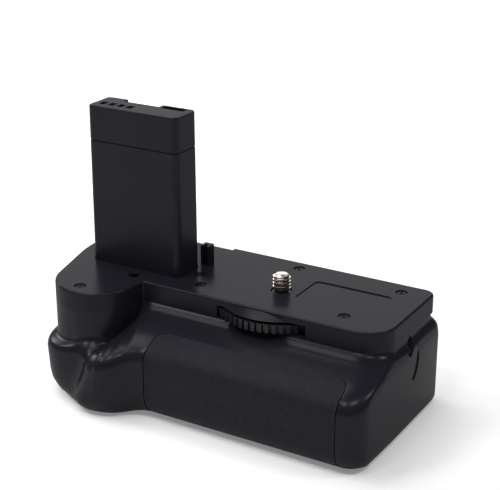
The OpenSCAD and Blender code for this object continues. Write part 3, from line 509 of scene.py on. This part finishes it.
class GripSizes(PropertyGroup):
    """Sizes that the finishing uses."""
    moulding_round: length_property("Moulding rounding", "Rounding of the mouldings' edges", 0.35 * MM)
    cover_round: length_property("Cover rounding", "Largest rounding of the plate's edges", 0.4 * MM)
    brim_round: length_property("Brim rounding", "Rounding where the plate turns down", 0.8 * MM)
    seam_round: length_property("Seam rounding", "Rounding at the tower's seam and top", 0.48 * MM)
    rib_round: length_property("Rib rounding", "Rounding of the wheel's ribs", 0.22 * MM)
    tray_round: length_property("Tray rounding", "Rounding of the tray's edges", 0.25 * MM)
    dish_lift: length_property("Dish lift", "How far the floor of the strap eye's dish comes out", 0.8 * MM)
    thread_pitch: length_property("Thread pitch", "Pitch of the stud's thread", 1.27 * MM)
    thread_depth: length_property("Thread depth", "Depth of the stud's thread", 0.7 * MM)
    thread_turns: IntProperty(
        name="Thread turns", description="Turns of the stud's thread", default=4, min=2, max=6,
        subtype="UNSIGNED",
    )


class GripStage(PropertyGroup):
    """Floor and lights."""
    floor: colour_property("Floor", "Pale floor", (0.85, 0.85, 0.85))
    key: power_property("Key", "Power of each box of the arc", 0.8)
    overhead: power_property("Overhead", "Power of the soft box above", 1.9)
    back: power_property("Back", "Power of the panel behind", 3.9)
    fill: share_property("Fill", "Strength of the room's light", 0.16)
    lift: share_property("Lift", "How far the floor near the object is lifted to white", 0.2)


# Pieces

# Where the floor of the dish round the strap eye lies: in from the end wall, across and in height
DISH_INSET = (0.9 * MM, 1.5 * MM)
DISH_ACROSS = (-3 * MM, 7 * MM)
DISH_HEIGHT = (-24 * MM, -10 * MM)


def within(value, span):
    """True if a value lies between the two ends of a span."""
    low, high = span
    return low < value < high


class GRIP_OT_housing(Operator):
    """Finish the moulded housing, its floor and the tray's panel."""
    bl_idname = "grip.housing"
    bl_label = "Housing"

    def execute(self, context):
        sizes = context.scene.grip_sizes
        housing = recast(
            "main_housing", "housing", "housing", "grip",
            shape=lambda piece: self.lift_dish(piece, sizes.dish_lift),
        )
        smooth(housing, SOFT_CREASE)
        recast("base_plate", "floor_plate", "housing", "grip")
        recast("tray_panel", "rear_panel", "housing", "tray", sizes.moulding_round)
        return {"FINISHED"}

    def lift_dish(self, piece, lift):
        """Brings the floor of the dish round the strap eye nearer to the end wall, as a shallow hollow."""
        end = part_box("main_housing")[1].x
        in_edit_mode(piece)
        pick(piece, "VERT", lambda corner: self.on_dish(corner.co, end))
        bpy.ops.transform.translate(value=(lift, 0, 0))
        out_of_edit_mode()

    def on_dish(self, place, end):
        """True for a place on the dish's floor."""
        inset = within(end - place.x, DISH_INSET)
        return inset and within(place.y, DISH_ACROSS) and within(place.z, DISH_HEIGHT)


# A wall deeper than this belongs to the plate's rim, and not to a hole
RIM_WALL = 3 * MM


class GRIP_OT_cover(Operator):
    """Finish the plate that meets the camera."""
    bl_idname = "grip.cover"
    bl_label = "Cover"

    def execute(self, context):
        sizes = context.scene.grip_sizes
        recast(
            "top_cover", "cover", "cover", "grip", sizes.cover_round,
            shape=lambda piece: round_picked(piece, self.on_brim, sizes.brim_round, segments=4),
        )
        return {"FINISHED"}

    def on_brim(self, edge):
        """True for an edge between the flat top and a wall as deep as the rim, so not for a hole's edge."""
        if len(edge.link_faces) != 2 or not edge.is_convex:
            return False
        wall, top = sorted(edge.link_faces, key=lambda face: face.normal.z)
        at_top = all(abs(corner.co.z) < SAME for corner in edge.verts)
        deep = min(corner.co.z for corner in wall.verts) < -RIM_WALL
        return at_top and deep and top.normal.z > LEVEL and abs(wall.normal.z) < UPRIGHT


class GRIP_OT_tower(Operator):
    """Finish the tower's two mouldings and its contacts."""
    bl_idname = "grip.tower"
    bl_label = "Tower"

    def execute(self, context):
        width = context.scene.grip_sizes.seam_round
        self.moulding("tower_shell", "tower_body", width)
        self.moulding("tower_cap", "tower_top", width)
        dress_nodes("gilt", "contact_blades")
        return {"FINISHED"}

    def moulding(self, node, name, width):
        """One of the tower's mouldings, rounded where its outside meets the seam and the top."""
        piece = recast(
            node, name, "tower", "grip", join_level=False,
            shape=lambda cast: self.round_ends(cast, width),
        )
        even_faces(piece)

    def round_ends(self, cast, width):
        """Rounds the outside edges at the seam and at the top."""
        heights = [corner.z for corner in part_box("tower_cap")]
        places = [corner.co.copy() for corner in cast.data.vertices]

        def wanted(edge):
            return self.at_end(edge, heights) and self.outermost(edge, places)

        round_picked(cast, wanted, width, segments=2)

    def wall_and_end(self, edge):
        """The faces beside an edge, the more upright one first."""
        return sorted(edge.link_faces, key=lambda face: abs(face.normal.z))

    def at_end(self, edge, heights):
        """True for an edge at one of the heights, between a wall and a level face."""
        if len(edge.link_faces) != 2:
            return False
        wall, end = self.wall_and_end(edge)
        level = any(all(abs(corner.co.z - height) < SAME for corner in edge.verts) for height in heights)
        return level and abs(end.normal.z) > LEVEL and abs(wall.normal.z) < UPRIGHT

    def outermost(self, edge, places):
        """True if no place at the edge's height lies farther out than the edge's wall."""
        out = self.wall_and_end(edge)[0].normal
        start = edge.verts[0].co
        beside = (place for place in places if abs(place.z - start.z) < SAME)
        return all(place.dot(out) < start.dot(out) + SAME for place in beside)


class GRIP_OT_pad(Operator):
    """Finish the grained rubber pad."""
    bl_idname = "grip.pad"
    bl_label = "Pad"

    def execute(self, context):
        recast("grip_rubber", "pad", "pad", "grip")
        return {"FINISHED"}


# Outer radius of the stud's quarter-inch thread
STUD_RADIUS = 3.175 * MM
STUD_SEGMENTS = 48
# The tapered foot of the stud's shaft: its radius as a share of the shaft's, and its height
FOOT_SHARE = 0.9
FOOT_HEIGHT = 0.3 * MM
# Heights between which the shaft steps in to the thread's core
STEP_FOOT = -0.9 * MM
STEP_TOP = -0.85 * MM
# Rings of the stud's domed top: how far in from the core and how far down from the top
DOME = ((0, 0.8 * MM), (0.12 * MM, 0.4 * MM), (0.4 * MM, 0.12 * MM), (0.8 * MM, 0))
# The thread's profile: its corners, and half its height as a share of the pitch
THREAD_CORNERS = 6
THREAD_SHARE = 0.42
# Height at which the thread starts, and its steps in a turn
THREAD_START = 0.75 * MM
THREAD_STEPS = 40


class GRIP_OT_stud(Operator):
    """Turn the mounting stud and wind its thread round it."""
    bl_idname = "grip.stud"
    bl_label = "Stud"

    def execute(self, context):
        sizes = context.scene.grip_sizes
        core = STUD_RADIUS - sizes.thread_depth
        stud = joined("threaded_stud", [self.shaft(core), self.thread(core, sizes)])
        smooth(stud, THREAD_EDGE)
        hand_over(stud, "nickel", "clamp_wheel", "mounting_stud")
        dress_nodes("steel", "stud_plate", "wheel_screw")
        dress_nodes("brass", "stud_bush")
        dress_nodes("black_steel", "stud_clip")
        return {"FINISHED"}

    def shaft(self, core):
        """The stud without its thread."""
        low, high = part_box("mounting_stud")
        shaft = high.x
        foot = [(shaft * FOOT_SHARE, low.z), (shaft, low.z + FOOT_HEIGHT)]
        step = [(shaft, STEP_FOOT), (core, STEP_TOP)]
        dome = [(core - inward, high.z - down) for inward, down in DOME]
        return turned("stud_core", foot + step + dome, STUD_SEGMENTS)

    def thread(self, core, sizes):
        """A ridge that winds up the stud."""
        half = sizes.thread_pitch * THREAD_SHARE
        clear_selection()
        bpy.ops.mesh.primitive_circle_add(
            vertices=THREAD_CORNERS, radius=half, fill_type="NOTHING", rotation=(math.pi / 2, 0, 0)
        )
        ridge = bpy.context.object
        ridge.location = (core, 0, THREAD_START)
        ridge.scale = (sizes.thread_depth / half, 1, 1)
        settle(ridge)
        apply_modifier(
            ridge, "SCREW", axis="Z", screw_offset=sizes.thread_pitch, iterations=sizes.thread_turns,
            steps=THREAD_STEPS, render_steps=THREAD_STEPS, use_merge_vertices=False,
        )
        in_edit_mode(ridge)
        bpy.ops.mesh.remove_doubles(threshold=MERGE)
        bpy.ops.mesh.fill_holes(sides=0)
        bpy.ops.mesh.normals_make_consistent(inside=False)
        out_of_edit_mode()
        return ridge


class GRIP_OT_wheel(Operator):
    """Finish the ribbed wheel."""
    bl_idname = "grip.wheel"
    bl_label = "Wheel"

    def execute(self, context):
        sizes = context.scene.grip_sizes
        recast("thumbwheel", "ribbed_wheel", "control", "clamp_wheel", sizes.rib_round)
        return {"FINISHED"}


# Rings of a screw's pan head: radius, and depth below its crown
SCREW_HEAD = ((1.35 * MM, 0), (1.75 * MM, 0.14 * MM), (1.88 * MM, 0.34 * MM), (1.88 * MM, 0.78 * MM))
SCREW_SEGMENTS = 32
# Where the shank starts below the crown, its radius, and the length and share of its radius at its point
SHANK_START = 0.8 * MM
SHANK_RADIUS = 1.06 * MM
POINT_LENGTH = 0.5 * MM
POINT_SHARE = 0.6
# The two bars of the cross recess, which go half their height into the head
RECESS_BARS = ((0.5 * MM, 2.2 * MM, 0.9 * MM), (2.2 * MM, 0.5 * MM, 0.9 * MM))
# Corners that lie closer than this, seen from above, belong to one screw
SCREW_ROOM = 4.5 * MM


class GRIP_OT_screws(Operator):
    """Model the screws with their cross recesses."""
    bl_idname = "grip.screws"
    bl_label = "Screws"

    def execute(self, context):
        self.set_of("cover_screws", head_up=True)
        self.set_of("plate_screws", head_up=True)
        self.set_of("base_screws", head_up=False)
        return {"FINISHED"}

    def set_of(self, node, head_up):
        """One modelled screw copied to each place where the node has one."""
        low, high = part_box(node)
        screw = self.screw(high.z - low.z, head_up)
        crown = high.z if head_up else low.z
        copies = [copy_to(screw, (x, y, crown)) for x, y in self.places(node)]
        bpy.data.objects.remove(screw, do_unlink=True)
        piece = joined(node + "_set", copies)
        smooth(piece)
        hand_over(piece, "black_steel", "grip", node)

    def places(self, node):
        """The middles of a node's screws, from its corners gathered screw by screw."""
        screws = {}
        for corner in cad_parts[node].data.vertices:
            spot = corner.co.xy
            first = next((k for k in screws if (Vector(k) - spot).length < SCREW_ROOM), tuple(spot))
            screws.setdefault(first, []).append(spot)
        return [self.middle(spots) for spots in screws.values()]

    def middle(self, spots):
        """The middle of the box round some spots."""
        return tuple((min(values) + max(values)) / 2 for values in zip(*spots))

    def screw(self, length, head_up):
        """A screw with its crown at the origin, a cross recess, and its shank down or up from there."""
        shank = [
            (SHANK_RADIUS, SHANK_START), (SHANK_RADIUS, length - POINT_LENGTH),
            (SHANK_RADIUS * POINT_SHARE, length),
        ]
        piece = turned("screw", [*SCREW_HEAD, *shank], SCREW_SEGMENTS)
        for bar in RECESS_BARS:
            cut_block(piece, bar)
        if head_up:
            piece.rotation_euler = (math.pi, 0, 0)
            settle(piece)
        return piece


class GRIP_OT_controls(Operator):
    """Finish the buttons, the slider and the tray's lock."""
    bl_idname = "grip.controls"
    bl_label = "Controls"

    def execute(self, context):
        edge = context.scene.grip_sizes.moulding_round
        recast("shutter_button", "release_button", "control", "shutter", edge)
        recast("shutter_collar", "release_collar", "control", "grip", edge)
        recast("power_slider", "slide_knob", "control", "power", edge)
        recast("lock_knob", "turn_knob", "control", "lock", edge)
        dress_nodes("steel", "lock_bar")
        dress_nodes("switch", "shutter_switch", "slide_switch")
        return {"FINISHED"}


class GRIP_OT_chamber(Operator):
    """Finish the chamber, the tray, what is inside, and the metal of the floor and the strap eye."""
    bl_idname = "grip.chamber"
    bl_label = "Chamber"

    def execute(self, context):
        sizes = context.scene.grip_sizes
        recast("battery_tray", "tray", "chamber", "tray", sizes.tray_round, segments=1)
        dress_nodes("chamber", "battery_cage")
        dress_nodes("gilt", "tray_contacts", "cage_contacts")
        dress_nodes("board", "circuit_board")
        dress_nodes("nickel", "tripod_socket")
        dress_nodes("steel", "strap_bar")
        return {"FINISHED"}


# Stage

class SoftBox(NamedTuple):
    """A rectangular light: where it stands, the point that it faces, and its two sides, in metres."""
    at: tuple
    towards: tuple
    size: tuple


# Places of the arc's boxes, so that each rounded ridge and hollow mirrors one of them to the camera
KEY_ARC = (
    (-0.65, 0.13, 0.24), (-0.55, -0.15, 0.41), (-0.33, -0.33, 0.52),
    (-0.04, -0.36, 0.59), (0.26, -0.23, 0.61), (0.42, 0.12, 0.52),
)
KEY_BOXES = [SoftBox(at, (-0.02, -0.02, 0), (0.16, 0.12)) for at in KEY_ARC]
OVERHEAD_BOX = SoftBox((-0.3, 0.03, 0.65), (-0.02, 0, 0), (0.5, 0.3))
BACK_PANEL = SoftBox((-0.57, 0.96, 0.43), (0, 0, 0), (1.2, 0.5))
WHITE = (1, 1, 1, 1)
# Side of the floor in metres, and how far it lies below the object
FLOOR_SIDE = 12
FLOOR_DROP = 0.2 * MM
# Distances in metres between which the floor's lift grows, and the lift that it grows to
LIFT_NEAR = 0.1
LIFT_FAR = 0.9
FAR_LIFT = 0.9
# The photograph's camera: its place in metres, its direction, and its focal length and frame in pixels
CAMERA_AT = (0.19635, -0.35495, 0.17409)
CAMERA_AZIMUTH = math.radians(30.5)
CAMERA_ELEVATION = math.radians(21.2)
FOCAL_PIXELS = 1266
FRAME_PIXELS = 500
SENSOR_WIDTH = 36
CLIP_NEAR = 0.01
CLIP_FAR = 50


class GRIP_OT_stage(Operator):
    """Set up the pale floor, the soft lights and the camera."""
    bl_idname = "grip.stage"
    bl_label = "Stage"

    def execute(self, context):
        stage = context.scene.grip_stage
        self.floor(stage)
        self.room(context.scene, stage)
        self.lights(stage)
        self.camera(context.scene)
        context.scene.view_settings.view_transform = "Standard"
        return {"FINISHED"}

    def floor(self, stage):
        """A wide pale floor just under the object."""
        clear_selection()
        bpy.ops.mesh.primitive_plane_add(size=FLOOR_SIDE, location=(0, 0, CAD_BOX[0].z - FLOOR_DROP))
        floor = bpy.context.object
        floor.name = "floor"
        settle(floor)
        floor.data.materials.append(self.floor_finish(stage))

    def floor_finish(self, stage):
        """A pale matt finish that the camera sees as white, with the object's shadow left in it."""
        finish, shader = new_finish("pale_floor", stage.floor)
        set_inputs(shader, Roughness=0.9, Specular_IOR_Level=0.0, Emission_Color=WHITE)
        glow = add_node(finish, "ShaderNodeMath", operation="MULTIPLY")
        join(finish, self.seen(finish), glow.inputs[0])
        join(finish, self.lift(finish, stage), glow.inputs[1])
        join(finish, glow.outputs["Value"], shader.inputs["Emission Strength"])
        return finish

    def seen(self, finish):
        """1 for rays that show the floor, also mirrored or through glass, and 0 for light from it."""
        rays = add_node(finish, "ShaderNodeLightPath")
        seen = rays.outputs["Is Camera Ray"]
        for kind in ("Is Glossy Ray", "Is Transmission Ray"):
            either = add_node(finish, "ShaderNodeMath", operation="MAXIMUM")
            join(finish, seen, either.inputs[0])
            join(finish, rays.outputs[kind], either.inputs[1])
            seen = either.outputs["Value"]
        return seen

    def lift(self, finish, stage):
        """What the floor lacks to white: little under the lamps and more farther out."""
        far = add_node(finish, "ShaderNodeVectorMath", operation="LENGTH")
        join(finish, object_place(finish), far.inputs[0])
        ramp = add_node(
            finish, "ShaderNodeMapRange", From_Min=LIFT_NEAR, From_Max=LIFT_FAR,
            To_Min=stage.lift, To_Max=FAR_LIFT,
        )
        join(finish, far.outputs["Value"], ramp.inputs["Value"])
        return ramp.outputs["Result"]

    def room(self, scene, stage):
        """A pale room that lights softly from all round."""
        world = bpy.data.worlds.new("room")
        world.use_nodes = True
        scene.world = world
        set_inputs(world.node_tree.nodes["Background"], Color=WHITE, Strength=stage.fill)

    def lights(self, stage):
        """An arc of small soft boxes from left to right, a large one above and a low panel behind."""
        for number, box in enumerate(KEY_BOXES):
            self.light("key_%d_light" % number, box, stage.key)
        self.light("overhead_light", OVERHEAD_BOX, stage.overhead)
        self.light("back_light", BACK_PANEL, stage.back)

    def light(self, name, box, power):
        """A soft box that the camera doesn't see."""
        clear_selection()
        bpy.ops.object.light_add(type="AREA", location=box.at)
        lamp = bpy.context.object
        lamp.name = name
        lamp.data.shape = "RECTANGLE"
        lamp.data.size, lamp.data.size_y = box.size
        lamp.data.energy = power
        lamp.visible_camera = False
        self.aim(lamp, Vector(box.towards) - Vector(box.at))

    def aim(self, looker, direction):
        """Turns a light or a camera to look along a direction."""
        looker.rotation_euler = direction.to_track_quat("-Z", "Y").to_euler()

    def camera(self, scene):
        """The photograph's camera, as fitted to its vanishing points."""
        clear_selection()
        bpy.ops.object.camera_add(location=CAMERA_AT)
        camera = bpy.context.object
        level = math.cos(CAMERA_ELEVATION)
        self.aim(camera, Vector((
            -math.sin(CAMERA_AZIMUTH) * level, math.cos(CAMERA_AZIMUTH) * level, -math.sin(CAMERA_ELEVATION)
        )))
        camera.data.sensor_width = SENSOR_WIDTH
        camera.data.lens = SENSOR_WIDTH * FOCAL_PIXELS / FRAME_PIXELS
        camera.data.clip_start = CLIP_NEAR
        camera.data.clip_end = CLIP_FAR
        scene.camera = camera


class GRIP_PT_panel(Panel):
    """Lists the grip's pieces and settings."""
    bl_idname = "GRIP_PT_panel"
    bl_label = "Battery grip"
    bl_space_type = "VIEW_3D"
    bl_region_type = "UI"
    bl_category = "Grip"

    def draw(self, context):
        for operator in OPERATORS:
            self.layout.operator(operator.bl_idname)
        for group in GROUPS:
            settings = getattr(context.scene, group)
            for name in settings.__annotations__:
                self.layout.prop(settings, name)


OPERATORS = (
    GRIP_OT_housing, GRIP_OT_cover, GRIP_OT_tower, GRIP_OT_pad, GRIP_OT_stud, GRIP_OT_wheel, GRIP_OT_screws,
    GRIP_OT_controls, GRIP_OT_chamber, GRIP_OT_stage,
)
GROUPS = {"grip_colours": GripColours, "grip_sizes": GripSizes, "grip_stage": GripStage}
CLASSES = (*GROUPS.values(), *OPERATORS, GRIP_PT_panel)


def register():
    """Adds the classes and the scene's settings."""
    for cls in CLASSES:
        bpy.utils.register_class(cls)
    for name, group in GROUPS.items():
        setattr(bpy.types.Scene, name, PointerProperty(type=group))


def unregister():
    """Takes the settings and the classes away again."""
    for name in GROUPS:
        delattr(bpy.types.Scene, name)
    for cls in reversed(CLASSES):
        bpy.utils.unregister_class(cls)


def main():
    """Makes every piece and the stage."""
    register()
    for operator in OPERATORS:
        group, name = operator.bl_idname.split(".")
        getattr(getattr(bpy.ops, group), name)()


if __name__ == "__main__":
    main()
